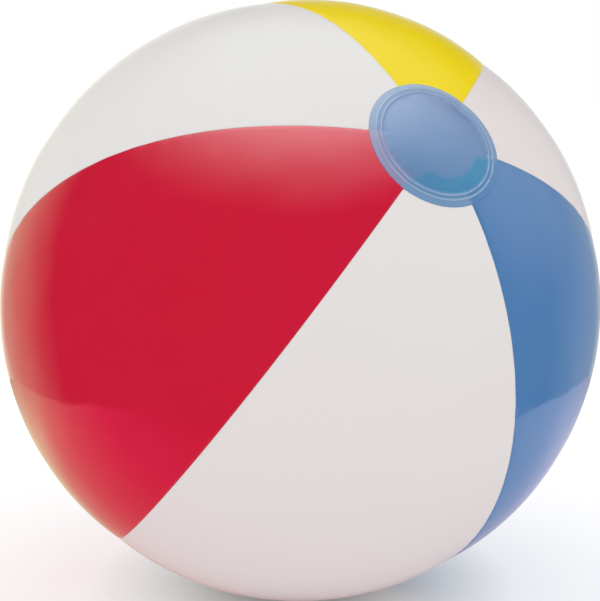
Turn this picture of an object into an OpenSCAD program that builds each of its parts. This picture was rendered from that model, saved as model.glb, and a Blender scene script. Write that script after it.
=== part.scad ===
/* Inflatable beach ball: six film panels, two end discs and an oral inflation valve.
   Units are millimetres. The origin is the ball's centre and +Z is up. */

/* [Ball] */
// Diameter of the inflated ball over its panels
ball_diameter = 400; // [300:10:600]
// Thickness of the vinyl film
film = 0.25; // [0.2:0.05:0.5]
// How far each panel's welded edge stands into the ball
seam_fin = 3; // [2:0.5:6]
// Radius of the hole that the panel tips leave at each pole
tip_hole_r = 31; // [24:1:33]

/* [End discs] */
// Diameter of each end disc
disc_diameter = 82; // [76:1:100]
// Thickness of the end disc film
disc_film = 0.4; // [0.3:0.05:0.6]
// Radius of curvature of the disc's domed middle
dome_curve_r = 145; // [120:5:150]
// Height of the two weld rings raised in each disc's rim
ring_h = 0.5; // [0.2:0.1:0.8]
// Width of each weld ring
ring_w = 1.2; // [0.8:0.1:1.6]

/* [Stance] */
// Lean of the polar axis away from upright
lean = 54.4; // [0:0.1:180]
// Compass turn of the leaning pole, from +X towards +Y
turn = -61.5; // [-180:0.1:180]
// Turn of the panels about the polar axis
spin = 12.6; // [0:0.1:60]

/* [Valve place] */
// Latitude of the valve on its panel, up towards the leaning pole
valve_latitude = -25; // [-50:1:50]
// Turn of the valve about its own axis, which sets where the strap points
valve_clock = 40; // [-180:5:180]

/* [Valve] */
// Diameter of the flange welded round the valve hole
flange_diameter = 36; // [34:1:44]
// Thickness of the flange
flange_t = 0.8; // [0.5:0.1:1.2]
// Diameter of the well that the stem is pushed into
well_diameter = 25; // [25:0.5:28]
// Thickness of the skirt that turns inside out
skirt_t = 0.5; // [0.3:0.1:0.6]
// Outer diameter of the stem
stem_diameter = 9.6; // [9:0.2:9.8]
// Diameter of the air bore
bore_diameter = 6.4; // [6:0.2:6.8]
// Length of the stem
stem_length = 14; // [12:0.5:18]
// Height of the stem's mouth above the panel when pushed in
mouth_height = 0.4; // [0:0.1:1]

/* [Plug and flap] */
// Diameter of the plug's head
plug_head_diameter = 11.6; // [11:0.2:11.8]
// Thickness of the plug's head
plug_head_t = 1.2; // [1:0.1:1.3]
// Length of the plug's tapered pin
plug_pin_length = 4.8; // [4:0.2:5]
// Distance from the stem's axis to the strap's fold
fold_reach = 8.8; // [8.6:0.1:9]
// Depth of the strap's fold below the stem's mouth
fold_depth = 2.2; // [2:0.1:2.4]
// Width of the strap
strap_w = 3; // [2:0.5:3.5]
// Thickness of the non-return flap
flap_t = 0.6; // [0.4:0.1:0.8]

/* [Hidden] */
$fn = 96;

red = [0.79, 0.11, 0.22];
blue = [0.30, 0.48, 0.70];
yellow = [0.92, 0.83, 0.16];
white = [0.89, 0.89, 0.88];
disc_blue = [0.49, 0.61, 0.77, 0.85];
clear = [0.85, 0.90, 0.93, 0.5];

// Ball
ball_r = ball_diameter / 2;
panel_count = 6;
panel_angle = 360 / panel_count;
fin_angle = atan(film / ball_r);
valve_panel = 3;
valve_longitude = spin + (valve_panel + 0.5) * panel_angle;

// Clearances: lapped films, moulded parts side by side, and parts that move past each other
lap_gap = 0.05;
seat_gap = 0.1;
run_gap = 0.25;
overlap = 0.3;

// End disc
disc_r = disc_diameter / 2;
disc_seat_r = ball_r + lap_gap;
dome_edge_r = tip_hole_r + 1;
dome_centre_z = sqrt(pow(disc_seat_r, 2) - pow(dome_edge_r, 2))
    - sqrt(pow(dome_curve_r, 2) - pow(dome_edge_r, 2));
ring_places = [0.35, 0.65];

// Valve, with heights measured from the panel's outer face
flange_r = flange_diameter / 2;
well_r = well_diameter / 2;
stem_r = stem_diameter / 2;
bore_r = bore_diameter / 2;
stem_foot = mouth_height - stem_length;
root_r = stem_r + 1;
root_t = 1;
skirt_top = lap_gap + flange_t / 2;

// Plug, strap and flap
plug_head_r = plug_head_diameter / 2;
pin_top_r = bore_r - run_gap;
pin_tip_r = pin_top_r - 0.5;
head_foot = mouth_height + seat_gap;
fold_z = mouth_height - fold_depth;
fold_r = 0.6;
strap_t = 1;
collar_r = stem_r + 0.8;
flap_r = bore_r + 1.2;
flap_hinge_x = -(flap_r + 0.5);
flap_top = stem_foot - seat_gap;

// The ball as it lies, with its polar axis leaning.
module stance() {
    rotate([0, lean, turn]) children();
}

// A frame on the panel's outer face, with its own z pointing out of the ball.
module at_valve() {
    stance()
        rotate([0, 90 - valve_latitude, valve_longitude])
            translate([0, 0, ball_r])
                rotate([0, 0, valve_clock]) children();
}

// Half section of a spherical band, kept between two distances from its axis.
module band(inner_r, outer_r, from_x, to_x) {
    intersection() {
        difference() {
            circle(r = outer_r);
            circle(r = inner_r);
        }
        translate([from_x, -outer_r]) square([to_x - from_x, 2 * outer_r]);
    }
}

// The upper half of a band.
module cap_band(inner_r, outer_r, from_x, to_x) {
    intersection() {
        band(inner_r, outer_r, from_x, to_x);
        translate([from_x, 0]) square([to_x - from_x, outer_r]);
    }
}

// One film panel between two seams, with a fin turned in along both edges.
module panel_shell(index) {
    film_inner_r = ball_r - film;
    fin_inner_r = film_inner_r - seam_fin;
    rotate([0, 0, spin + index * panel_angle])
        difference() {
            rotate_extrude(angle = panel_angle)
                band(fin_inner_r, ball_r, tip_hole_r, ball_r);
            rotate([0, 0, fin_angle])
                rotate_extrude(angle = panel_angle - 2 * fin_angle)
                    band(fin_inner_r - overlap, film_inner_r, tip_hole_r - overlap, ball_r);
        }
}

module panel(index, shade) {
    color(shade) stance() panel_shell(index);
}

module panel_blue() {
    panel(0, blue);
}

module panel_white_right() {
    panel(1, white);
}

module panel_yellow() {
    panel(2, yellow);
}

// This panel carries the valve, so it has a round hole.
module panel_white_left() {
    hole_depth = 4 * (film + seam_fin);
    color(white)
        difference() {
            stance() panel_shell(valve_panel);
            at_valve()
                translate([0, 0, -hole_depth / 2]) cylinder(r = well_r, h = hole_depth);
        }
}

module panel_red() {
    panel(4, red);
}

module panel_white_front() {
    panel(5, white);
}

// Domed disc lapped over the panel tips, with two raised weld rings in its rim.
module end_disc() {
    rotate_extrude() {
        cap_band(disc_seat_r, disc_seat_r + disc_film, dome_edge_r - overlap, disc_r);
        translate([0, dome_centre_z])
            cap_band(dome_curve_r, dome_curve_r + disc_film, 0, dome_edge_r);
        for (place = ring_places) {
            ring_x = tip_hole_r + (disc_r - tip_hole_r) * place;
            cap_band(disc_seat_r, disc_seat_r + disc_film + ring_h, ring_x - ring_w / 2, ring_x + ring_w / 2);
        }
    }
}

module end_disc_upper() {
    color(disc_blue) stance() end_disc();
}

module end_disc_lower() {
    color(disc_blue) stance() mirror([0, 0, 1]) end_disc();
}

// Ring that follows the ball round the valve hole.
module valve_flange() {
    seat_r = ball_r + lap_gap;
    color(clear) at_valve()
        translate([0, 0, -ball_r])
            rotate_extrude() cap_band(seat_r, seat_r + flange_t, well_r, flange_r);
}

// Thin cone from the flange down to the stem's root.
module valve_skirt() {
    top_r = well_r - seat_gap;
    foot_r = root_r + seat_gap;
    color(clear) at_valve()
        rotate_extrude()
            polygon([
                [top_r, skirt_top],
                [top_r - skirt_t, skirt_top],
                [foot_r, stem_foot],
                [foot_r + skirt_t, stem_foot]
            ]);
}

// Tube that is blown into, with a root that the skirt joins.
module valve_stem() {
    color(clear) at_valve()
        translate([0, 0, stem_foot])
            difference() {
                union() {
                    cylinder(r = stem_r, h = stem_length);
                    cylinder(r = root_r, h = root_t);
                }
                translate([0, 0, -overlap]) cylinder(r = bore_r, h = stem_length + 2 * overlap);
            }
}

// Disc that shuts the bore from inside, with its hinge edge on one side.
module check_flap() {
    color(clear) at_valve()
        translate([0, 0, flap_top - flap_t]) {
            cylinder(r = flap_r, h = flap_t);
            translate([flap_hinge_x, -flap_r / 2, 0]) cube([flap_r, flap_r, flap_t]);
            translate([flap_hinge_x, -flap_r / 2, flap_t / 2])
                rotate([-90, 0, 0]) cylinder(r = flap_t / 2, h = flap_r);
        }
}

// Head, tapered pin, and the arm that runs down to the strap's fold.
module stopper_plug() {
    arm_x = fold_reach - fold_r;
    color(clear) at_valve() {
        translate([0, 0, head_foot]) cylinder(r = plug_head_r, h = plug_head_t);
        translate([0, 0, head_foot - plug_pin_length])
            cylinder(r1 = pin_tip_r, r2 = pin_top_r, h = plug_pin_length + overlap);
        translate([bore_r, -strap_w / 2, head_foot]) cube([arm_x - bore_r + 2 * fold_r, strap_w, strap_t]);
        translate([arm_x, -strap_w / 2, fold_z]) cube([2 * fold_r, strap_w, head_foot - fold_z + strap_t]);
        translate([fold_reach, -strap_w / 2, fold_z])
            rotate([-90, 0, 0]) cylinder(r = fold_r, h = strap_w);
    }
}

// Collar round the stem and the strap's short arm out to the fold.
module plug_strap() {
    arm_end = fold_reach - fold_r - run_gap;
    color(clear) at_valve()
        translate([0, 0, fold_z - strap_t / 2])
            difference() {
                union() {
                    cylinder(r = collar_r, h = strap_t);
                    translate([0, -strap_w / 2, 0]) cube([arm_end, strap_w, strap_t]);
                }
                translate([0, 0, -overlap]) cylinder(r = stem_r + lap_gap, h = strap_t + 2 * overlap);
            }
}

panel_blue();
panel_white_right();
panel_yellow();
panel_white_left();
panel_red();
panel_white_front();
end_disc_upper();
end_disc_lower();
valve_flange();
valve_skirt();
valve_stem();
check_flap();
stopper_plug();
plug_strap();
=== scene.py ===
"""Looks of the inflatable beach ball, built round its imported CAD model.

Metres, +Z up, origin at the ball's centre.
"""

import math

import bmesh
import bpy
import numpy as np
from mathutils import Matrix, Vector, noise


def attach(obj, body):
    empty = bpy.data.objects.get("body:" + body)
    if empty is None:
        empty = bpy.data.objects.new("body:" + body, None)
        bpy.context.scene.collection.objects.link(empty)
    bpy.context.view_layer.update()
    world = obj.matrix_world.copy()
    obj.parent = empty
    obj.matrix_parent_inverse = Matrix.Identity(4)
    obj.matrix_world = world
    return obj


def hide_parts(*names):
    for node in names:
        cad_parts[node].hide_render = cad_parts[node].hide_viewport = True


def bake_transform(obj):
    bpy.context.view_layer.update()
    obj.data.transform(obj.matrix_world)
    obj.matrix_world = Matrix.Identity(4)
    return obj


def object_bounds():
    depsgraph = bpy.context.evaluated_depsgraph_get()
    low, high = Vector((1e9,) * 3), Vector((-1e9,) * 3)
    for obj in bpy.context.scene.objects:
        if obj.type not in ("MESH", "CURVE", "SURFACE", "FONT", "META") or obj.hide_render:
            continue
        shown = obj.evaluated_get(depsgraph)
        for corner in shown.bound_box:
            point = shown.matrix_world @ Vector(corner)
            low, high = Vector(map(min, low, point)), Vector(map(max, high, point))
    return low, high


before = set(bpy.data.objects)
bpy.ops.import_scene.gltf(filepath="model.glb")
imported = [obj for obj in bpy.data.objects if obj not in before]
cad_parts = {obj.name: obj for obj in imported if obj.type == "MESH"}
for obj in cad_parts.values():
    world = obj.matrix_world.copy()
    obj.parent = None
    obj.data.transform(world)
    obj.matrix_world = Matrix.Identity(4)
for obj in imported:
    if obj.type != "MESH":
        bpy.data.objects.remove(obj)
cad_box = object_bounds()

MM = 0.001

# ---------------------------------------------------------------- the ball as it lies
BALL_R = (cad_box[1].z - cad_box[0].z) / 2
FLOOR_Z = cad_box[0].z
LEAN, TURN, SPIN = 54.4, -61.5, 12.6
PANELS = ["blue", "white_right", "yellow", "white_left", "red", "white_front"]
PANEL_ANGLE = 360 / len(PANELS)
HOST_PANEL = "white_left"
# How far each seam was welded off its even place, in degrees of longitude, at five places down from the
# upper disc, in degrees from the pole. Seam k starts panel k.
DRIFT_PLACES = np.radians([14, 26, 44, 90, 166])
SEAM_DRIFT = [
    [2.4, 2.3, 1.9, 2.1, 0.8],
    [2.6, 3.4, 3.8, 2.6, 0.4],
    [-0.2, -0.3, -0.5, 0.0, 0.0],
    [0.1, -2.1, -3.6, -3.0, 0.0],
    [1.2, 0.0, -0.5, -0.4, 0.0],
    [-0.8, -0.6, -0.5, -0.8, -0.4],
]
DRIFT_CURVES = [np.polyfit(DRIFT_PLACES, drift, 3) for drift in SEAM_DRIFT]

# ---------------------------------------------------------------- film
FILM = 0.25 * MM
SEAM_FIN = 3 * MM
TIP_HOLE_R = 31 * MM
# How far the middle of each panel swells past the nominal radius, and how far the seams stay inside it.
PANEL_BULGE = np.array([1.3, 0.8, 2.4, 0.7, 1.2, 0.7]) * MM
SEAM_SINK = 0.5 * MM
CREASE_DEPTH, CREASE_W = 0.4 * MM, 0.9 * MM
WELD_GAP = 0.02 * MM
CROWN_POWER = 3
# The weld's ripples: their height, how far in they reach, and their spacing. Their place wanders by so many
# radians, and their height swings about a mean, each over so many ripples and with its own phase per seam.
PUCKER, PUCKER_REACH, PUCKER_STEP = 0.10 * MM, 6 * MM, 17 * MM
WANDER, WANDER_STEPS, WANDER_PHASE = 1.4, 5.3, 2.1
GATHER_MEAN, GATHER_SWING, GATHER_STEPS, GATHER_PHASE = 0.55, 0.45, 7.7, 1.3
RIPPLE_PHASE = 0.9
SWELL, SWELL_SCALE = 0.22 * MM, 9.0
TAUT_REACH = 3 * PUCKER_REACH
TIP_ANGLE = math.asin(TIP_HOLE_R / BALL_R)
# A panel's mesh: rows from tip to tip, columns across its middle part, and places in from a welded edge,
# which close up where the panel is narrower than twice FULL_HALF.
PANEL_ROWS, PANEL_COLUMNS, HOST_COLUMNS = 240, 35, 75
EDGE_STEPS = np.array([0, 0.35, 0.8, 1.4, 2.4, 4, 6.5, 10]) * MM
FULL_HALF = 30 * MM
AT_EDGE = 0.01 * MM

# ---------------------------------------------------------------- end discs
DISC_R, DISC_FILM = 41 * MM, 0.4 * MM
DOME_EDGE_R, DOME_RISE, DOME_POWER = 32 * MM, 2.4 * MM, 3.0
PRINT_START_R, LAP_R = 29.5 * MM, 30.8 * MM
RING_PLACES, RING_H, RING_W = (34.3 * MM, 37.1 * MM), 0.42 * MM, 0.5 * MM
GROOVE_DEPTH, GROOVE_IN, GROOVE_W = 0.12 * MM, 0.4 * MM, 0.8 * MM
GATHER_H, GATHER_W, GATHERS, GATHER_SHIFTS = 0.05 * MM, 4 * MM, 23, 5
CRESCENT_R, CRESCENT_CHORD = 24 * MM, 17 * MM
DISC_SEGMENTS = 168
DOME_START, DOME_STEPS, RING_STEP, UNDER_STEP = 1.6 * MM, 22, 0.22 * MM, 1.5 * MM
DOME_INSET, RING_INSET, UNDER_INSET = 0.6 * MM, 0.5 * MM, 1.0 * MM
# The rounded rim: places in from the disc's edge, and how far down each one is.
RIM_IN = np.array([0.42, 0.25, 0.12, 0.03]) * MM
RIM_DROP = np.array([0.02, 0.07, 0.16, 0.28]) * MM

# ---------------------------------------------------------------- valve
# Its own frame has the mouth's axis as z, from 0 at the ball's face, and the strap on the +x side.
VALVE_LATITUDE, VALVE_CLOCK = -25, 40
VALVE_LONGITUDE = SPIN + (PANELS.index(HOST_PANEL) + 0.5) * PANEL_ANGLE
VALVE_REACH, VALVE_FADE = 24 * MM, 4
HOLE_BELOW, HOLE_ABOVE = 12 * MM, 8 * MM
FLANGE_R, WELL_R = 18 * MM, 12.5 * MM
STEM_R, BORE_R, STEM_LENGTH = 4.8 * MM, 3.2 * MM, 14 * MM
MOUTH_Z = 0.4 * MM
STEM_FOOT = MOUTH_Z - STEM_LENGTH
ROOT_R, ROOT_T = 5.8 * MM, 1.0 * MM
HEAD_R, HEAD_T, PIN_R, PIN_LENGTH = 5.8 * MM, 1.2 * MM, 2.95 * MM, 4.8 * MM
SEAT_GAP = 0.1 * MM
# The strap's fold, on which the plug swings.
FOLD_X, FOLD_Z, FOLD_R = 8.8 * MM, -1.8 * MM, 0.6 * MM
STRAP_W, STRAP_T, COLLAR_R = 3.0 * MM, 0.9 * MM, 5.6 * MM
STRAP_LOW, STRAP_HIGH = -2.3 * MM, -1.3 * MM
FLAP_R, FLAP_T = 4.4 * MM, 0.6 * MM

# Edges sharper than SHARP degrees are shaded sharp. A rounded corner is an arc of ARC_STEPS, and takes
# LONGEST_CUT of the shorter side at most.
SHARP = 40
SEGMENTS, SMALL_SEGMENTS, FLAP_SEGMENTS = 96, 72, 56
ARC_STEPS, LONGEST_CUT = 4, 0.45

STANCE = Matrix.Rotation(math.radians(TURN), 4, "Z") @ Matrix.Rotation(math.radians(LEAN), 4, "Y")
AT_VALVE = (
    Matrix.Rotation(math.radians(VALVE_LONGITUDE), 4, "Z")
    @ Matrix.Rotation(math.radians(90 - VALVE_LATITUDE), 4, "Y")
    @ Matrix.Translation((0, 0, BALL_R))
    @ Matrix.Rotation(math.radians(VALVE_CLOCK), 4, "Z")
)
VALVE = STANCE @ AT_VALVE
VALVE_AXIS = np.array(AT_VALVE.col[2].to_3d())


# ================================================================ mesh helpers
def mesh_piece(name, points, faces, place, sharp=SHARP):
    """A piece from points in its own frame, moved into the row frame by place, smooth but for sharp edges."""
    mesh = bpy.data.meshes.new(name)
    mesh.from_pydata([tuple(p) for p in points], [], [tuple(f) for f in faces])
    mesh.transform(place)
    mesh.validate()
    shape = bmesh.new()
    shape.from_mesh(mesh)
    bmesh.ops.recalc_face_normals(shape, faces=shape.faces)
    shape.to_mesh(mesh)
    shape.free()
    mesh.shade_smooth()
    mesh.set_sharp_from_angle(angle=math.radians(sharp))
    piece = bpy.data.objects.new(name, mesh)
    bpy.context.scene.collection.objects.link(piece)
    return piece


def rounded(corners, radius):
    """A closed outline with each corner cut to an arc. A corner is (x, z) or (x, z, own radius)."""
    count = len(corners)
    outline = []
    for i, corner in enumerate(corners):
        here = Vector(corner[:2])
        before = Vector(corners[i - 1][:2]) - here
        after = Vector(corners[(i + 1) % count][:2]) - here
        r = corner[2] if len(corner) > 2 else radius
        r = min(r, LONGEST_CUT * before.length, LONGEST_CUT * after.length)
        start, end = here + before.normalized() * r, here + after.normalized() * r
        for k in range(ARC_STEPS + 1):
            t = k / ARC_STEPS
            outline.append(start * (1 - t) ** 2 + here * 2 * t * (1 - t) + end * t ** 2)
    return outline


def rounded_half(corners, radius):
    """The rounded outline of a solid from axis to axis, whose first and last corners stay as they are."""
    arc = ARC_STEPS + 1
    return [Vector(corners[0]), *rounded(corners, radius)[arc:-arc], Vector(corners[-1])]


def turned(name, outline, place, segments=SEGMENTS):
    """A closed outline (x, z) turned about the z axis into a ring."""
    n = len(outline)
    points = []
    for s in range(segments):
        a = 2 * math.pi * s / segments
        points += [(p.x * math.cos(a), p.x * math.sin(a), p.y) for p in outline]
    faces = []
    for s in range(segments):
        t = (s + 1) % segments
        faces += [(s * n + i, t * n + i, t * n + (i + 1) % n, s * n + (i + 1) % n) for i in range(n)]
    return mesh_piece(name, points, faces, place)


def turned_solid(name, outline, place, segments=SEGMENTS):
    """An open outline from axis to axis turned about z into a closed solid."""
    inner = outline[1:-1]
    n = len(inner)
    points = [(0, 0, outline[0].y), (0, 0, outline[-1].y)]
    for s in range(segments):
        a = 2 * math.pi * s / segments
        points += [(p.x * math.cos(a), p.x * math.sin(a), p.y) for p in inner]
    faces = []
    for s in range(segments):
        here, there = 2 + s * n, 2 + ((s + 1) % segments) * n
        faces.append((0, there, here))
        faces.append((1, here + n - 1, there + n - 1))
        faces += [(here + i, there + i, there + i + 1, here + i + 1) for i in range(n - 1)]
    return mesh_piece(name, points, faces, place)


# ================================================================ the film's surface
def seam_edges(polar):
    """Longitudes of the six seams, and of the first one again a turn on, in degrees at each polar angle."""
    seams = [SPIN + k * PANEL_ANGLE + np.polyval(curve, polar) for k, curve in enumerate(DRIFT_CURVES)]
    return np.stack([*seams, seams[0] + 360], -1)


def seam_span(longitude, polar):
    """At each point: the panel, the place across it (-1 to 1), its width in radians, and the nearest seam."""
    edges = seam_edges(polar)
    turn = (longitude - edges[..., 0]) % 360 + edges[..., 0]
    panel = np.clip((edges <= turn[..., None] + 1e-9).sum(-1) - 1, 0, len(PANELS) - 1)
    start = np.take_along_axis(edges, panel[..., None], -1)[..., 0]
    width = np.take_along_axis(edges, panel[..., None] + 1, -1)[..., 0] - start
    across = 2 * (turn - start) / width - 1
    nearest = (panel + (across > 0)) % len(PANELS)
    return panel, across, np.radians(width), nearest


def pucker(along, seam):
    """Small uneven ripples that the weld draws into a seam, from -1 to 1."""
    turn = 2 * np.pi * along
    wander = WANDER * np.sin(turn / (WANDER_STEPS * PUCKER_STEP) + WANDER_PHASE * seam)
    gather = GATHER_MEAN + GATHER_SWING * np.sin(turn / (GATHER_STEPS * PUCKER_STEP) + GATHER_PHASE * seam)
    return gather * np.sin(turn / PUCKER_STEP + wander + RIPPLE_PHASE * seam)


def swell(direction):
    """Slow unevenness of the inflated film, from about -1 to 1."""
    return np.array([noise.noise(Vector(d) * SWELL_SCALE) for d in direction])


def film_radius(longitude, polar):
    """How far the film's outer face is from the centre, at arrays of longitude (degrees) and polar angle."""
    panel, across, width, seam = seam_span(longitude, polar)
    reach = (1 - np.abs(across)) * BALL_R * np.sin(polar) * width / 2
    direction = on_ball(1, longitude, polar)
    from_valve = BALL_R * np.arccos(np.clip(direction @ VALVE_AXIS, -1, 1))
    free = 1 - np.exp(-((from_valve / VALVE_REACH) ** VALVE_FADE))
    crown = np.abs(across) ** CROWN_POWER
    r = BALL_R + (PANEL_BULGE[panel] * (1 - crown) - SEAM_SINK * crown) * np.sin(polar) * free
    r -= CREASE_DEPTH * np.exp(-reach / CREASE_W)
    r += PUCKER * np.exp(-reach / PUCKER_REACH) * pucker(BALL_R * polar, seam)
    taut = 1 - np.exp(-reach / TAUT_REACH)
    r += SWELL * taut * free * swell(direction.reshape(-1, 3)).reshape(r.shape)
    return r


def on_ball(r, longitude, polar):
    """Points at distance r in a longitude (degrees) and polar angle."""
    lon = np.radians(longitude)
    from_axis = r * np.sin(polar)
    return np.stack([from_axis * np.cos(lon), from_axis * np.sin(lon), r * np.cos(polar)], -1)


# ================================================================ panels
def panel_mesh(index):
    """One film panel: outer face, inner face, and a fin turned in along both welded edges."""
    columns = HOST_COLUMNS if PANELS[index] == HOST_PANEL else PANEL_COLUMNS
    rows, reaches = [], []
    for polar in np.linspace(TIP_ANGLE, math.pi - TIP_ANGLE, PANEL_ROWS):
        start, end = seam_edges(np.array(polar))[index:index + 2]
        width = end - start
        metres_per_degree = BALL_R * math.sin(polar) * math.radians(1)
        half = width / 2 * metres_per_degree
        steps = EDGE_STEPS * min(1, half / FULL_HALF)
        inside = np.linspace(steps[-1], half, (columns + 1) // 2 + 1)[1:-1]
        left = np.concatenate([steps, inside])
        across = np.concatenate([left, [half], 2 * half - left[::-1]])
        gap = WELD_GAP * np.sign(half - across) * (np.abs(half - across) > half - AT_EDGE)
        longitude = start + (across + gap) / metres_per_degree
        polars = np.full_like(longitude, polar)
        outer_r = film_radius(longitude, polars)
        outer = on_ball(outer_r, longitude, polars)
        pulled = np.clip(across, FILM, 2 * half - FILM)
        inner_longitude = start + pulled / metres_per_degree
        inner = on_ball(outer_r - FILM, inner_longitude, polars)
        depth = outer_r[0] - FILM - SEAM_FIN
        foot = on_ball(depth, longitude[[0, -1]], polars[[0, -1]])
        foot_inner = on_ball(depth, inner_longitude[[0, -1]], polars[[0, -1]])
        far_fin, near_fin = [foot[1], foot_inner[1]], [foot_inner[0], foot[0]]
        rows.append(np.concatenate([outer, far_fin, inner[::-1], near_fin]))
        reach = np.minimum(across, 2 * half - across)
        reaches.append(np.concatenate([reach, [0, 0], reach[::-1], [0, 0]]))
    loop = len(rows[0])
    n = (loop - 4) // 2
    points = np.concatenate(rows)
    faces = []
    for s in range(PANEL_ROWS - 1):
        here, there = s * loop, (s + 1) * loop
        faces += [(here + i, there + i, there + (i + 1) % loop, here + (i + 1) % loop) for i in range(loop)]
    for base, flip in ((0, False), ((PANEL_ROWS - 1) * loop, True)):
        cap = [(i, i + 1, 2 * n + 1 - (i + 1), 2 * n + 1 - i) for i in range(n - 1)]
        cap += [(n - 1, n, n + 1, n + 2), (0, 2 * n + 1, 2 * n + 2, 2 * n + 3)]
        cap = [tuple(base + v for v in f) for f in cap]
        faces += [f[::-1] for f in cap] if flip else cap
    return points, faces, np.concatenate(reaches)


def valve_hole(piece):
    """Cuts the round hole for the valve well."""
    corners = [(0, -HOLE_BELOW), (WELL_R, -HOLE_BELOW), (WELL_R, HOLE_ABOVE), (0, HOLE_ABOVE)]
    cutter = turned_solid("hole_cutter", [Vector(corner) for corner in corners], VALVE, SMALL_SEGMENTS)
    cut = piece.modifiers.new("hole", "BOOLEAN")
    cut.object = cutter
    cut.operation = "DIFFERENCE"
    cut.solver = "EXACT"
    depsgraph = bpy.context.evaluated_depsgraph_get()
    mesh = bpy.data.meshes.new_from_object(piece.evaluated_get(depsgraph))
    mesh.set_sharp_from_angle(angle=math.radians(SHARP))
    piece.modifiers.clear()
    piece.data = mesh
    bpy.data.objects.remove(cutter)


def make_panels():
    """The six film panels, each in its own finish."""
    white = white_vinyl()
    finishes = {
        "blue": blue_vinyl(),
        "yellow": yellow_vinyl(),
        "red": red_vinyl(),
        "white_left": white,
        "white_front": white,
        "white_right": white_vinyl_painted_pink_glow(),
    }
    for index, name in enumerate(PANELS):
        points, faces, reach = panel_mesh(index)
        panel = mesh_piece("film_" + name, points, faces, STANCE)
        panel.data.attributes.new("reach", "FLOAT", "POINT").data.foreach_set("value", reach)
        if name == HOST_PANEL:
            valve_hole(panel)
        panel.data.materials.append(finishes[name])
        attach(panel, "ball")
        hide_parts("panel_" + name)


# ================================================================ end discs
def disc_height(x, longitude):
    """How far the disc's underside stands out along the polar axis at distance x from it."""
    polar = np.arcsin(x / BALL_R)
    lap_polar = np.maximum(polar, math.asin(LAP_R / BALL_R))
    print_through = np.clip((x - PRINT_START_R) / (LAP_R - PRINT_START_R), 0, 1)
    film = film_radius(longitude, lap_polar) - BALL_R
    base = (BALL_R + film * print_through + 2 * WELD_GAP) * np.cos(polar)
    lift = 1 - np.minimum(x / DOME_EDGE_R, 1) ** DOME_POWER
    return base + DOME_RISE * lift


def end_disc(name, node, side):
    """A domed film disc lapped over the panel tips, with two raised weld rings. side is 1 or -1."""
    dome_zone = np.linspace(DOME_START, DOME_EDGE_R - DOME_INSET, DOME_STEPS)
    ring_zone = np.arange(DOME_EDGE_R, DISC_R - RING_INSET, RING_STEP)
    top_x = np.concatenate([dome_zone, ring_zone, DISC_R - RIM_IN])
    drop = np.concatenate([np.zeros(len(dome_zone) + len(ring_zone)), RIM_DROP])
    raised = sum(RING_H * np.exp(-(((top_x - x) / RING_W) ** 2)) for x in RING_PLACES)
    groove = GROOVE_DEPTH * np.exp(-(((top_x - DOME_EDGE_R - GROOVE_IN) / GROOVE_W) ** 2))
    under_rim = np.arange(DISC_R - UNDER_INSET, DOME_EDGE_R, -UNDER_STEP)
    under_x = np.concatenate([[DISC_R - WELD_GAP], under_rim, dome_zone[::-2]])
    rows = []
    for s in range(DISC_SEGMENTS):
        degrees = 360 * s / DISC_SEGMENTS
        lon = math.radians(degrees)
        ripple = np.sin(GATHERS * lon + 2 * np.sin(GATHER_SHIFTS * lon))
        gather = GATHER_H * ripple * np.exp(-(((top_x - DOME_EDGE_R) / GATHER_W) ** 2))
        top = disc_height(top_x, np.full_like(top_x, degrees)) + DISC_FILM + raised - groove - drop + gather
        under = disc_height(under_x, np.full_like(under_x, degrees))
        x = np.concatenate([top_x, under_x])
        z = np.concatenate([top, under])
        rows.append(np.stack([x * math.cos(lon), x * math.sin(lon), side * z], -1))
    loop = len(rows[0])
    zero = np.zeros(1)
    middle = float(disc_height(zero, zero)[0])
    points = np.concatenate([[(0, 0, side * (middle + DISC_FILM)), (0, 0, side * middle)], *rows])
    faces = []
    for s in range(DISC_SEGMENTS):
        here, there = 2 + s * loop, 2 + ((s + 1) % DISC_SEGMENTS) * loop
        faces += [(here + i, here + i + 1, there + i + 1, there + i) for i in range(loop - 1)]
        faces += [(0, here, there), (1, there + loop - 1, here + loop - 1)]
    faces = faces if side > 0 else [f[::-1] for f in faces]
    disc = mesh_piece(name, points, faces, STANCE)
    disc.data.materials.append(disc_vinyl(side))
    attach(disc, "ball")
    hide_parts(node)


def ball_face(x):
    """Height of the ball's outer face at distance x from the valve's axis, in the valve's frame."""
    return math.sqrt(BALL_R ** 2 - x ** 2) - BALL_R


def valve_piece(piece, node, body=None):
    """Gives a piece of the valve its finish, the node it stands for, and the body it rides on."""
    piece.data.materials.append(VALVE_FINISH)
    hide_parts(node)
    if body:
        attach(piece, body)


def valve_flange():
    """Round flange lapped over the film, with two raised weld rings and a rolled lip round the well."""
    bottom, top, steps, under_skip = 0.05 * MM, 0.65 * MM, 44, 4
    ridge, weld_w, weld_places = 0.35 * MM, 0.35 * MM, (14.4 * MM, 16.6 * MM)
    lip_share, lip_w, edge_w = 0.5, 0.6 * MM, 0.25 * MM
    xs = [WELL_R + (FLANGE_R - WELL_R) * i / steps for i in range(steps + 1)]
    upper = []
    for x in xs:
        welds = sum(math.exp(-(((x - place) / weld_w) ** 2)) for place in weld_places)
        lip = lip_share * math.exp(-((x - WELL_R) / lip_w) ** 2)
        edge = 1 - math.exp(-(FLANGE_R - x) / edge_w)
        upper.append(Vector((x, ball_face(x) + bottom + (top - bottom) * edge + ridge * max(welds, lip))))
    lower = [Vector((x, ball_face(x) + bottom)) for x in reversed(xs[:-1:under_skip])]
    piece = turned("flange", upper + lower, VALVE)
    valve_piece(piece, "valve_flange", "ball")


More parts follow.
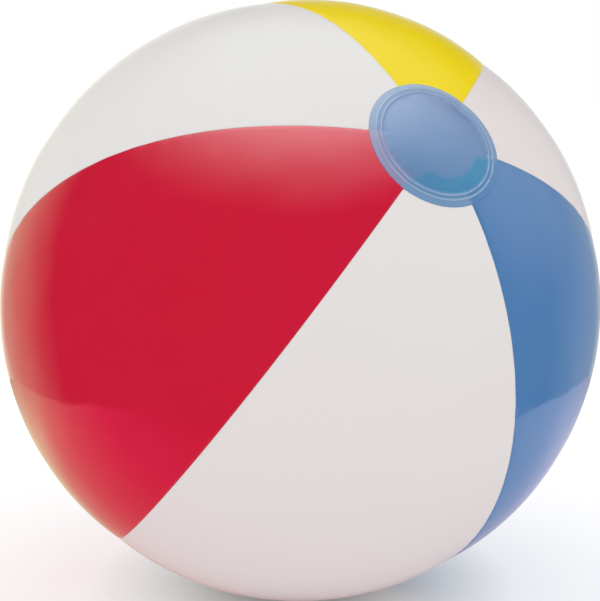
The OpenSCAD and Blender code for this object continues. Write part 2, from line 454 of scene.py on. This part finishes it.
def valve_skirt():
    """Thin rolled wall that holds the stem in the well and turns inside out when the stem pops up."""
    hem, tuck, inset = 0.25 * MM, 0.1 * MM, 0.05 * MM
    top = Vector((WELL_R + hem, 0.3 * MM))
    foot = Vector((ROOT_R + tuck, STEM_FOOT + tuck))
    wall, bulge, roll, rolls, steps = 0.45 * MM, 0.9 * MM, 0.22 * MM, 3, 40
    outer, inner = [], []
    for i in range(steps + 1):
        t = i / steps
        arch = math.sin(math.pi * t)
        bow = bulge * arch + roll * math.sin(2 * math.pi * rolls * t) * arch
        line = top.lerp(foot, t)
        outer.append(line + Vector((bow - inset, 0)))
        inner.append(line + Vector((bow - wall, 0)))
    piece = turned("skirt", outer + inner[::-1], VALVE)
    valve_piece(piece, "valve_skirt")
    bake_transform(piece)


def valve_stem():
    """The stem: a tube with a thicker root, a bead, a groove for the strap's collar, and a mouth lip."""
    neck_r, groove_r = STEM_R - 0.25 * MM, STEM_R - 0.15 * MM
    neck_low, neck_high = STEM_FOOT + 1.6 * MM, -3.2 * MM
    bead_low, bead_high = -2.9 * MM, -2.35 * MM
    groove_low, groove_high, lip_low = -2.2 * MM, -1.4 * MM, -1.2 * MM
    corners = [
        (BORE_R, STEM_FOOT), (ROOT_R, STEM_FOOT), (ROOT_R, STEM_FOOT + ROOT_T),
        (neck_r, neck_low), (neck_r, neck_high),
        (STEM_R, bead_low), (STEM_R, bead_high),
        (groove_r, groove_low), (groove_r, groove_high),
        (STEM_R, lip_low), (STEM_R, MOUTH_Z),
        (BORE_R + 0.1 * MM, MOUTH_Z), (BORE_R, MOUTH_Z - 0.6 * MM),
    ]
    piece = turned("stem_tube", rounded(corners, 0.3 * MM), VALVE, SMALL_SEGMENTS)
    valve_piece(piece, "valve_stem", "stem")


def check_flap():
    """Thin flap over the stem's foot, with a faint point in the middle of its inner side."""
    top = STEM_FOOT - 0.1 * MM
    bottom = top - FLAP_T
    dent, point_r = 0.05 * MM, 1.6 * MM
    corners = [
        (0, top), (FLAP_R - 0.8 * MM, top), (FLAP_R, top, 0.15 * MM),
        (FLAP_R, bottom, 0.25 * MM), (point_r, bottom + dent), (0, bottom - dent),
    ]
    disc = turned_solid("inner_flap", rounded_half(corners, 0.2 * MM), VALVE, FLAP_SEGMENTS)
    valve_piece(disc, "check_flap", "flap")


def stopper_plug():
    """The plug: a thumb head with a raised rim and a tapered pin with a sealing bead."""
    foot, top = MOUTH_Z + SEAT_GAP, MOUTH_Z + SEAT_GAP + HEAD_T
    dish = top - 0.35 * MM
    tip = foot - PIN_LENGTH
    tip_r, neck_r, bead_r, waist_r = (PIN_R - inset * MM for inset in (0.75, 0.35, 0.05, 0.2))
    neck, bead_low, bead_high, waist = (tip + rise * MM for rise in (1.1, 1.7, 2.2, 2.8))
    corners = [
        (0, tip), (tip_r, tip, 0.4 * MM), (neck_r, neck),
        (bead_r, bead_low), (bead_r, bead_high), (waist_r, waist), (bead_r, foot, 0.15 * MM),
        (HEAD_R, foot, 0.3 * MM), (HEAD_R, top, 0.35 * MM),
        (HEAD_R - 0.9 * MM, top, 0.3 * MM), (HEAD_R - 1.3 * MM, dish, 0.4 * MM), (0, dish),
    ]
    plug = turned_solid("plug", rounded_half(corners, 0.2 * MM), VALVE, SMALL_SEGMENTS)
    valve_piece(plug, "stopper_plug", "plug")


def ribbon_points(path, widths, thickness):
    """Rings of points round a flat ribbon whose middle follows path in the valve's x-z plane."""
    corners, across_power, through_power = 16, 0.35, 0.6
    rings = []
    for i, here in enumerate(path):
        before, after = path[max(i - 1, 0)], path[min(i + 1, len(path) - 1)]
        along = (after - before).normalized()
        outward = Vector((-along.y, along.x))
        ring = []
        for k in range(corners):
            a = 2 * math.pi * k / corners
            side = math.copysign(abs(math.cos(a)) ** across_power, math.cos(a)) * widths[i] / 2
            lift = math.copysign(abs(math.sin(a)) ** through_power, math.sin(a)) * thickness / 2
            point = here + outward * lift
            ring.append((point.x, side, point.y))
        rings.append(ring)
    return rings


def plug_strap():
    """A collar in the stem's groove, and the ribbon that loops out of it and up to the plug's head."""
    inner_r = STEM_R + 0.05 * MM
    corners = [(inner_r, STRAP_LOW), (COLLAR_R, STRAP_LOW), (COLLAR_R, STRAP_HIGH), (inner_r, STRAP_HIGH)]
    collar = turned("strap_collar", rounded(corners, 0.25 * MM), VALVE, SMALL_SEGMENTS)
    valve_piece(collar, "plug_strap", "stem")

    head_z = MOUTH_Z + SEAT_GAP + HEAD_T / 2
    reach, turn_r, turn_depth, turn_steps = FOLD_X - 0.7 * MM, (head_z - FOLD_Z) / 2, FOLD_R + 0.35 * MM, 12
    root_share, thickness_share = 1.25, 0.75
    lower_xs = (COLLAR_R - 0.4 * MM, COLLAR_R + 0.6 * MM, COLLAR_R + 1.4 * MM, reach)
    upper_xs = (reach, HEAD_R + 1.2 * MM, HEAD_R + 0.4 * MM, HEAD_R - 0.5 * MM)
    path = [Vector((x, FOLD_Z)) for x in lower_xs]
    for k in range(1, turn_steps):
        a = -math.pi / 2 + math.pi * k / turn_steps
        path.append(Vector((reach + turn_depth * math.cos(a), FOLD_Z + turn_r + turn_r * math.sin(a))))
    path += [Vector((x, head_z)) for x in upper_xs]
    widths = [STRAP_W * (root_share if i in (0, len(path) - 1) else 1.0) for i in range(len(path))]
    rings = ribbon_points(path, widths, STRAP_T * thickness_share)
    n = len(rings[0])
    points = [p for ring in rings for p in ring]
    faces = [tuple(range(n))[::-1], tuple((len(rings) - 1) * n + i for i in range(n))]
    for s in range(len(rings) - 1):
        here, there = s * n, (s + 1) * n
        faces += [(here + i, here + (i + 1) % n, there + (i + 1) % n, there + i) for i in range(n)]
    ribbon = mesh_piece("strap_ribbon", points, faces, VALVE, sharp=60)
    valve_piece(ribbon, "plug_strap")
    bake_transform(ribbon)


def make_valve():
    """Every piece of the valve, from the film inwards and up to the plug."""
    valve_flange()
    valve_skirt()
    valve_stem()
    check_flap()
    plug_strap()
    stopper_plug()


# ================================================================ materials
# Colours are linear. How fine each mark in the film is, as a noise scale in waves per metre.
SHADE_SCALE, SMUDGE_SCALE, DYE_SCALE, DUST_SCALE, DRAWN_SCALE = 4.5, 11, 38, 55, 60
HAZE_SCALE, SCUFF_SCALE, PEEL_SCALE = 90, 420, 700
PEEL_DEPTH, DRAWN_DEPTH = 0.003 * MM, 0.012 * MM
SMUDGE_ROUGHNESS, SCUFF_ROUGHNESS = 0.05, 0.08
DUST_REACH = 1.2 * MM


class Nodes:
    """A material's node tree with short calls for what the finishes here share."""

    def __init__(self, name):
        self.material = bpy.data.materials.new(name)
        self.material.use_nodes = True
        self.tree = self.material.node_tree
        self.tree.nodes.clear()
        self.place = self.add("ShaderNodeTexCoord").outputs["Object"]

    def add(self, kind, **settings):
        node = self.tree.nodes.new(kind)
        for key, value in settings.items():
            setattr(node, key, value)
        return node

    def join(self, source, target):
        self.tree.links.new(source, target)

    def noise(self, scale, detail=3, roughness=0.5, stretch=(1, 1, 1)):
        """Noise in the piece's own coordinates, drawn out along an axis whose stretch is below 1."""
        vector = self.place
        if stretch != (1, 1, 1):
            mapping = self.add("ShaderNodeMapping")
            mapping.inputs["Scale"].default_value = stretch
            self.join(self.place, mapping.inputs["Vector"])
            vector = mapping.outputs["Vector"]
        node = self.add("ShaderNodeTexNoise")
        node.inputs["Scale"].default_value = scale
        node.inputs["Detail"].default_value = detail
        node.inputs["Roughness"].default_value = roughness
        self.join(vector, node.inputs["Vector"])
        return node.outputs["Fac"]

    def fit(self, value, low, high, to_low=0.0, to_high=1.0):
        """The range low to high mapped to to_low to to_high, and held there outside it."""
        node = self.add("ShaderNodeMapRange")
        for key, number in zip(("From Min", "From Max", "To Min", "To Max"), (low, high, to_low, to_high)):
            node.inputs[key].default_value = number
        self.join(value, node.inputs["Value"])
        return node.outputs["Result"]

    def combine(self, a, b, operation="ADD"):
        """One Math step on a socket and another socket or a number."""
        node = self.add("ShaderNodeMath", operation=operation)
        self.join(a, node.inputs[0])
        if isinstance(b, (int, float)):
            node.inputs[1].default_value = b
        else:
            self.join(b, node.inputs[1])
        return node.outputs[0]

    def blend(self, share, a, b):
        """From colour a to colour b as share goes from 0 to 1. Either may be a socket."""
        node = self.add("ShaderNodeMix", data_type="RGBA")
        self.join(share, node.inputs["Factor"])
        for key, colour in (("A", a), ("B", b)):
            socket = [s for s in node.inputs if s.name == key and s.type == "RGBA"][0]
            if isinstance(colour, (tuple, list)):
                socket.default_value = (*colour, 1)
            else:
                self.join(colour, socket)
        return [s for s in node.outputs if s.type == "RGBA"][0]

    def bump(self, height, distance, before=None):
        """A normal raised by height, on top of the normal before it."""
        node = self.add("ShaderNodeBump")
        node.inputs["Distance"].default_value = distance
        node.inputs["Strength"].default_value = 1.0
        self.join(height, node.inputs["Height"])
        if before is not None:
            self.join(before, node.inputs["Normal"])
        return node.outputs["Normal"]

    def finish(self, shader):
        """Joins the shader to the output and gives the material."""
        output = self.add("ShaderNodeOutputMaterial")
        self.join(shader, output.inputs["Surface"])
        return self.material


FILM_IOR, CLEAR_IOR = 1.5, 1.53
DISC_ALPHA, CLEAR_ALPHA = 0.86, 0.72


def film_shader(nodes, colour, gloss=0.5, roughness=(0.06, 0.11)):
    """Glossy calendered film: colour, handling smudges, fine scuffs and a faint orange peel."""
    shader = nodes.add("ShaderNodeBsdfPrincipled")
    shader.inputs["IOR"].default_value = FILM_IOR
    shader.inputs["Specular IOR Level"].default_value = gloss
    nodes.join(colour, shader.inputs["Base Color"])
    smudge = nodes.fit(nodes.noise(SMUDGE_SCALE, detail=5, roughness=0.6), 0.5, 0.72)
    haze = nodes.fit(nodes.noise(HAZE_SCALE, detail=6, roughness=0.65), 0.35, 0.75, *roughness)
    scuffs = nodes.fit(nodes.noise(SCUFF_SCALE, detail=2, stretch=(1, 0.06, 0.3)), 0.66, 0.74)
    rough = nodes.combine(haze, nodes.combine(smudge, SMUDGE_ROUGHNESS, "MULTIPLY"))
    rough = nodes.combine(rough, nodes.combine(scuffs, SCUFF_ROUGHNESS, "MULTIPLY"))
    nodes.join(rough, shader.inputs["Roughness"])
    peel = nodes.bump(nodes.noise(PEEL_SCALE, detail=2), PEEL_DEPTH)
    drawn = nodes.bump(nodes.noise(DRAWN_SCALE, detail=2, stretch=(1, 1, 0.15)), DRAWN_DEPTH, peel)
    nodes.join(drawn, shader.inputs["Normal"])
    return shader


def vinyl(name, colour, shade, mottle, mottle_share=0.5, gloss=0.5, painted_low_shade=None):
    """Dyed vinyl film: slow shade changes, faint cloudiness in the dye, and a little dust along the welds."""
    nodes = Nodes(name)
    slow = nodes.fit(nodes.noise(SHADE_SCALE, detail=2), 0.35, 0.68, 0, mottle_share)
    cloudy = nodes.fit(nodes.noise(DYE_SCALE, detail=4), 0.4, 0.7, 0, 0.35)
    tone = nodes.blend(slow, colour, mottle)
    tone = nodes.blend(cloudy, tone, shade)
    # Painted shade and painted pink light: the film turns darker and pinker towards the floor.
    if painted_low_shade:
        tint_from, tint_full = 0.07, -0.12
        split = nodes.add("ShaderNodeSeparateXYZ")
        nodes.join(nodes.place, split.inputs[0])
        low = nodes.fit(split.outputs["Z"], tint_from, tint_full)
        tone = nodes.blend(low, tone, painted_low_shade)
    reach = nodes.add("ShaderNodeAttribute", attribute_name="reach").outputs["Fac"]
    weld = nodes.fit(reach, 0, DUST_REACH, 1, 0)
    patchy = nodes.fit(nodes.noise(DUST_SCALE, detail=5, roughness=0.7), 0.35, 0.7, 0.05, 0.35)
    dust = nodes.combine(weld, patchy, "MULTIPLY")
    dusty = [0.75 * c + 0.1 for c in colour]
    tone = nodes.blend(dust, tone, dusty)
    shader = film_shader(nodes, tone, gloss)
    return nodes.finish(shader.outputs["BSDF"])


def red_vinyl():
    return vinyl(
        "red_vinyl",
        colour=(0.600, 0.0110, 0.036),
        shade=(0.575, 0.0095, 0.040),
        mottle=(0.605, 0.0100, 0.054),
    )


def blue_vinyl():
    return vinyl(
        "blue_vinyl",
        colour=(0.076, 0.206, 0.442),
        shade=(0.081, 0.210, 0.425),
        mottle=(0.088, 0.210, 0.450),
    )


def yellow_vinyl():
    return vinyl(
        "yellow_vinyl",
        colour=(0.85, 0.665, 0.014),
        shade=(0.84, 0.65, 0.014),
        mottle=(0.86, 0.67, 0.018),
        gloss=0.05,
    )


def white_vinyl():
    """White film, painted a little darker and pinker towards the floor: painted shade, and painted light of
    the dyed panels shining through it from inside.
    """
    return vinyl(
        "white_vinyl",
        colour=(0.765, 0.755, 0.745),
        shade=(0.755, 0.74, 0.73),
        mottle=(0.755, 0.715, 0.70),
        mottle_share=0.6,
        gloss=0.035,
        painted_low_shade=(0.735, 0.672, 0.668),
    )


def white_vinyl_painted_pink_glow():
    """White film of the upper right panel, with a faint pink cast: painted light of the red panel behind it,
    shining through the film from inside.
    """
    return vinyl(
        "white_vinyl_painted_pink_glow",
        colour=(0.745, 0.688, 0.682),
        shade=(0.738, 0.680, 0.674),
        mottle=(0.748, 0.700, 0.692),
        mottle_share=0.6,
        gloss=0.035,
    )


def disc_vinyl(side):
    """Translucent blue film of an end disc, with painted light: a painted highlight, lighter and greyer,
    towards its upper left, a painted crescent of darker, greener light seen through the dome at its lower
    right, and painted glints along the crests of the weld rings.
    """
    # The second tone and the rim's haze tone are painted highlight, the ring tone painted glints on the weld
    # rings' crests, and the greener tone a painted crescent of light seen through the dome.
    deep, sheen_blue, cloud = (0.145, 0.278, 0.505), (0.225, 0.315, 0.535), (0.15, 0.29, 0.52)
    rim_film, rim_sheen, painted_glint_blue = (0.21, 0.36, 0.56), (0.36, 0.44, 0.60), (0.42, 0.56, 0.74)
    crescent_teal = (0.050, 0.275, 0.49)
    over_panels = (("red", 0.5, (0.36, 0.245, 0.43)), ("blue", 0.85, (0.085, 0.235, 0.49)))

    nodes = Nodes("disc_vinyl")
    pole = STANCE.to_3x3() @ Vector((0, 0, side))
    towards_crescent = Vector((0.45, -0.40, -0.80))
    downhill = (towards_crescent - pole * towards_crescent.dot(pole)).normalized()

    def measure(operation, point, other):
        node = nodes.add("ShaderNodeVectorMath", operation=operation)
        nodes.join(point, node.inputs[0])
        node.inputs[1].default_value = other
        return node.outputs["Value" if operation in ("DOT_PRODUCT", "DISTANCE") else "Vector"]

    from_centre = measure("SUBTRACT", nodes.place, pole * BALL_R)
    along = measure("DOT_PRODUCT", from_centre, downhill)
    in_plane = measure("CROSS_PRODUCT", nodes.place, pole)
    radius = measure("DISTANCE", in_plane, (0, 0, 0))
    sideways = measure("DOT_PRODUCT", from_centre, pole.cross(downhill))

    # Painted crescent of darker, greener light seen through the dome at its lower right, inside the inner
    # ring.
    shake, fade_in, fade_out = 0.9 * MM, MM, 1.5 * MM
    wander = nodes.fit(nodes.noise(scale=70, detail=3), 0.3, 0.7, -shake, shake)
    outer = nodes.fit(nodes.combine(radius, wander), CRESCENT_R - fade_in, CRESCENT_R + fade_out)
    low = nodes.fit(nodes.combine(along, wander), CRESCENT_CHORD - fade_in, CRESCENT_CHORD + fade_out)
    inside = nodes.fit(radius, RING_PLACES[0], RING_PLACES[0] - fade_out)
    painted_crescent = nodes.combine(nodes.combine(outer, low, "MULTIPLY"), inside, "MULTIPLY")
    painted_crescent = nodes.combine(painted_crescent, nodes.fit(sideways, -25 * MM, 15 * MM, 0.55, 1.0), "MULTIPLY")
    # Painted highlight: the disc turns lighter and greyer towards its upper left.
    painted_sheen = nodes.fit(along, 22 * MM, -34 * MM)
    rim = nodes.fit(radius, RING_PLACES[0] + MM, RING_PLACES[1] + MM, 0, 0.6)
    cloudy = nodes.fit(nodes.noise(scale=60, detail=3), 0.4, 0.7, 0, 0.4)
    tone = nodes.blend(painted_sheen, deep, sheen_blue)
    tone = nodes.blend(cloudy, tone, cloud)
    tone = nodes.blend(rim, tone, rim_film)
    # Painted highlight on the rim as well, at its upper left.
    tone = nodes.blend(nodes.combine(rim, painted_sheen, "MULTIPLY"), tone, rim_sheen)
    tone = nodes.blend(painted_crescent, tone, crescent_teal)
    lapped = nodes.fit(radius, LAP_R, RING_PLACES[0])
    for panel, share, tint in over_panels:
        middle = math.radians(SPIN + (PANELS.index(panel) + 0.5) * PANEL_ANGLE)
        to_panel = STANCE.to_3x3() @ Vector((math.cos(middle), math.sin(middle), 0))
        outward = measure("DOT_PRODUCT", from_centre, to_panel)
        panel_edge = nodes.combine(radius, math.cos(math.radians(PANEL_ANGLE / 2)), "MULTIPLY")
        over = nodes.fit(nodes.combine(outward, panel_edge, "SUBTRACT"), -0.5 * MM, 1.5 * MM, 0, share)
        tone = nodes.blend(nodes.combine(over, lapped, "MULTIPLY"), tone, tint)
    # Painted glints: a patchy lighter tone along the crests of both weld rings.
    for place in RING_PLACES:
        off = nodes.combine(nodes.combine(radius, place, "SUBTRACT"), 0.0, "ABSOLUTE")
        patchy = nodes.fit(nodes.noise(scale=35, detail=3), 0.3, 0.7, 0.45, 0.9)
        crest_glint = nodes.combine(nodes.fit(off, 0.55 * MM, 0.15 * MM), patchy, "MULTIPLY")
        tone = nodes.blend(crest_glint, tone, painted_glint_blue)
    shader = film_shader(nodes, tone, gloss=0.4, roughness=(0.12, 0.2))
    shader.inputs["Alpha"].default_value = DISC_ALPHA
    return nodes.finish(shader.outputs["BSDF"])


def clear_vinyl():
    """Soft clear moulded PVC of the valve, faintly clouded, with moulding flow marks."""
    clear, clouded = (0.80, 0.83, 0.83), (0.66, 0.70, 0.70)
    nodes = Nodes("clear_vinyl")
    cloudy = nodes.fit(nodes.noise(scale=150, detail=4, roughness=0.6), 0.35, 0.7)
    tone = nodes.blend(cloudy, clear, clouded)
    shader = nodes.add("ShaderNodeBsdfPrincipled")
    shader.inputs["IOR"].default_value = CLEAR_IOR
    shader.inputs["Alpha"].default_value = CLEAR_ALPHA
    nodes.join(tone, shader.inputs["Base Color"])
    haze = nodes.fit(nodes.noise(scale=300, detail=4, roughness=0.6), 0.3, 0.75, 0.12, 0.3)
    nodes.join(haze, shader.inputs["Roughness"])
    flow = nodes.bump(nodes.noise(scale=240, detail=3, stretch=(1, 1, 0.3)), 0.04 * MM)
    nodes.join(nodes.bump(nodes.noise(scale=900, detail=2), 0.01 * MM, flow), shader.inputs["Normal"])
    return nodes.finish(shader.outputs["BSDF"])


# ================================================================ stage, light and camera
FLOOR_R = 12
# The floor's own faint light: none up to SHADE_FROM off the point of contact, FLOOR_LIFT from SHADE_TO on, so
# that its fading is a painted contact shadow.
SHADE_FROM, SHADE_TO, FLOOR_LIFT = 0.01, 0.15, 0.53
# The glowing card standing in for a lit table top, a painted reflection: an oval about a point behind the
# ball, whose front edge the gloss mirrors.
TABLE_Y, TABLE_HALF_W, TABLE_FRONT, TABLE_BACK, TABLE_SKEW = 0.2, 0.51, 0.635, 0.50, 0.115
OVAL_SEGMENTS = 128


def flat_oval(name, half_w, front, back, skew, z, material):
    """A level oval: half_w to each side, back behind its middle, front before it, skew more at the left."""
    points = []
    for s in range(OVAL_SEGMENTS):
        a = 2 * math.pi * s / OVAL_SEGMENTS
        depth = back if s < OVAL_SEGMENTS / 2 else front - skew * math.cos(a)
        points.append((half_w * math.cos(a), TABLE_Y + depth * math.sin(a), z))
    sheet = mesh_piece(name, points, [range(OVAL_SEGMENTS)], Matrix.Identity(4))
    sheet.data.materials.append(material)
    return sheet


def from_contact(nodes):
    """How far each point of a level surface is from the ball's point of contact."""
    flat = nodes.add("ShaderNodeVectorMath", operation="MULTIPLY")
    nodes.join(nodes.place, flat.inputs[0])
    flat.inputs[1].default_value = (1, 1, 0)
    away = nodes.add("ShaderNodeVectorMath", operation="LENGTH")
    nodes.join(flat.outputs["Vector"], away.inputs[0])
    return away.outputs["Value"]


def pale_floor():
    """Plain pale matt floor with a faint glow of its own, a little darker close round the point of contact,
    where the glow fades: a painted contact shadow.
    """
    nodes = Nodes("pale_floor")
    shader = nodes.add("ShaderNodeBsdfPrincipled")
    shader.inputs["Roughness"].default_value = 0.9
    shader.inputs["Specular IOR Level"].default_value = 0.1
    shader.inputs["Base Color"].default_value = (0.50, 0.50, 0.50, 1)
    shader.inputs["Emission Color"].default_value = (1, 1, 1, 1)
    # Painted contact shadow: the floor's glow fades out towards the point of contact.
    lift = nodes.fit(from_contact(nodes), SHADE_FROM, SHADE_TO, 0.0, FLOOR_LIFT)
    nodes.join(lift, shader.inputs["Emission Strength"])
    return nodes.finish(shader.outputs["BSDF"])


def table_glow():
    """Glow of the card that stands in for the lit table top, seen only in the gloss: pink in front, painted
    red light from the ball, straw-coloured behind, mauve at the right, and dim near the ball, a painted
    shadow of the ball.
    """
    pink, straw, mauve = (1, 0.055, 0.21), (0.67, 0.69, 0.45), (0.60, 0.54, 0.64)
    front_y, lit_y, fade_y, back_y = -0.36, -0.20, 0.12, 0.50
    pink_y, straw_y, mauve_half = -0.20, 0.10, 0.15
    dark_r, open_r = 0.03, 0.36
    nodes = Nodes("table_glow")
    split = nodes.add("ShaderNodeSeparateXYZ")
    nodes.join(nodes.place, split.inputs[0])
    x, y = split.outputs["X"], split.outputs["Y"]
    lit = nodes.fit(y, front_y, lit_y, 0.0, 1.5)
    far = nodes.fit(y, fade_y, back_y, 1.0, 0.5)
    # Painted shadow of the ball: the glow dims towards the point of contact.
    open_sky = nodes.fit(from_contact(nodes), dark_r, open_r, 0.42, 1.03)
    # Pink in front: painted red light from the ball.
    warm = nodes.blend(nodes.fit(y, pink_y, straw_y), pink, straw)
    glow = nodes.add("ShaderNodeEmission")
    nodes.join(nodes.blend(nodes.fit(x, -mauve_half, mauve_half), warm, mauve), glow.inputs["Color"])
    strength = nodes.combine(nodes.combine(lit, far, "MULTIPLY"), open_sky, "MULTIPLY")
    nodes.join(strength, glow.inputs["Strength"])
    return nodes.finish(glow.outputs["Emission"])


def make_floor():
    """The floor that the camera sees, and just under it a glowing card that only the gloss sees: a painted
    reflection of a lit table top.
    """
    floor = flat_oval("floor", FLOOR_R, FLOOR_R, FLOOR_R, 0, FLOOR_Z, pale_floor())
    floor.visible_glossy = False
    table_z = FLOOR_Z - 0.1 * MM
    table = flat_oval("table_glow_card", TABLE_HALF_W, TABLE_FRONT, TABLE_BACK, TABLE_SKEW, table_z, table_glow())
    table.visible_camera = False
    table.visible_diffuse = False
    table.visible_shadow = False
    table.visible_transmission = False


def make_world():
    """Even white studio light. The gloss sees a softbox overhead, a window to the right and walls behind."""
    world = bpy.data.worlds.new("studio")
    world.use_nodes = True
    world.cycles.sampling_method = "NONE"
    tree = world.node_tree
    tree.nodes.clear()

    def add(kind, **settings):
        node = tree.nodes.new(kind)
        for key, value in settings.items():
            setattr(node, key, value)
        return node

    def towards(direction, wide, tight):
        """0 to 1 as the ray turns from wide to tight degrees off a direction."""
        dot = add("ShaderNodeVectorMath", operation="DOT_PRODUCT")
        tree.links.new(ray, dot.inputs[0])
        dot.inputs[1].default_value = Vector(direction).normalized()
        ramp = add("ShaderNodeMapRange")
        ramp.inputs["From Min"].default_value = math.cos(math.radians(wide))
        ramp.inputs["From Max"].default_value = math.cos(math.radians(tight))
        tree.links.new(dot.outputs["Value"], ramp.inputs["Value"])
        return ramp.outputs["Result"]

    def glow(direction, wide, tight, colour, strength, power=1.0):
        """A soft patch of light seen in the gloss."""
        shape = add("ShaderNodeMath", operation="POWER")
        tree.links.new(towards(direction, wide, tight), shape.inputs[0])
        shape.inputs[1].default_value = power
        patch = add("ShaderNodeBackground")
        patch.inputs["Color"].default_value = (*colour, 1)
        scale = add("ShaderNodeMath", operation="MULTIPLY")
        tree.links.new(shape.outputs[0], scale.inputs[0])
        scale.inputs[1].default_value = strength
        tree.links.new(scale.outputs[0], patch.inputs["Strength"])
        return patch.outputs["Background"]

    def background(strength):
        node = add("ShaderNodeBackground")
        node.inputs["Color"].default_value = (1, 1, 1, 1)
        node.inputs["Strength"].default_value = strength
        return node.outputs["Background"]

    ray = add("ShaderNodeTexCoord").outputs["Generated"]
    softbox = glow((0.03, 0.05, 1), wide=56, tight=12, colour=(0.88, 0.98, 0.96), strength=4.5, power=2.2)
    window = glow((0.80, 0.10, 0.59), wide=38, tight=8, colour=(0.95, 0.98, 1), strength=1.05, power=1.2)
    wall_low = glow((0, 0.985, -0.174), wide=33, tight=6, colour=(1, 1, 1), strength=0.55)
    wall_high = glow((0, 0.985, 0.17), wide=27, tight=9, colour=(1, 1, 0.97), strength=0.30)
    wall_right = glow((0.70, 0.70, -0.06), wide=34, tight=14, colour=(0.9, 0.95, 1), strength=0.45)
    wall_left = glow((-0.60, 0.80, -0.15), wide=43, tight=20, colour=(1, 0.95, 0.68), strength=0.71)
    room = background(0.015)
    for patch in (softbox, window, wall_low, wall_high, wall_right, wall_left):
        both = add("ShaderNodeAddShader")
        tree.links.new(room, both.inputs[0])
        tree.links.new(patch, both.inputs[1])
        room = both.outputs["Shader"]
    path = add("ShaderNodeLightPath")
    choose = add("ShaderNodeMixShader")
    tree.links.new(path.outputs["Is Glossy Ray"], choose.inputs["Fac"])
    tree.links.new(background(1.0), choose.inputs[1])
    tree.links.new(room, choose.inputs[2])
    output = add("ShaderNodeOutputWorld")
    tree.links.new(choose.outputs["Shader"], output.inputs["Surface"])
    bpy.context.scene.world = world


def make_light():
    """One broad soft light overhead, for a soft shadow under the ball."""
    data = bpy.data.lights.new("softbox", "AREA")
    data.shape = "DISK"
    data.size = 1.6
    data.energy = 1
    lamp = bpy.data.objects.new("softbox", data)
    bpy.context.scene.collection.objects.link(lamp)
    lamp.location = (0.15, -0.25, 1.7)
    lamp.rotation_euler = (-lamp.location).to_track_quat("-Z", "Y").to_euler()
    lamp.visible_glossy = False


def make_camera():
    """Looks at the ball's centre from a little above, so that the ball fills a frame of 600 by 601."""
    distance_in_radii, elevation = 4.5, math.radians(10)
    frame_w, frame_h = 600, 601
    margin = 0.5 / (frame_w / 2)
    data = bpy.data.cameras.new("camera")
    camera = bpy.data.objects.new("camera", data)
    bpy.context.scene.collection.objects.link(camera)
    distance = distance_in_radii * BALL_R
    camera.location = (0, -distance * math.cos(elevation), distance * math.sin(elevation))
    camera.rotation_euler = (math.pi / 2 - elevation, 0, 0)
    limb = 1 / math.sqrt(distance_in_radii ** 2 - 1)
    data.sensor_width = 36
    data.lens = data.sensor_width / 2 / (limb * (1 + margin)) * (frame_w / frame_h)
    data.clip_start = 0.01
    bpy.context.scene.camera = camera


make_panels()
end_disc("disc_upper", "end_disc_upper", 1)
end_disc("disc_lower", "end_disc_lower", -1)
VALVE_FINISH = clear_vinyl()
make_valve()
make_floor()
make_world()
make_light()
make_camera()
bpy.context.scene.view_settings.view_transform = "Standard"
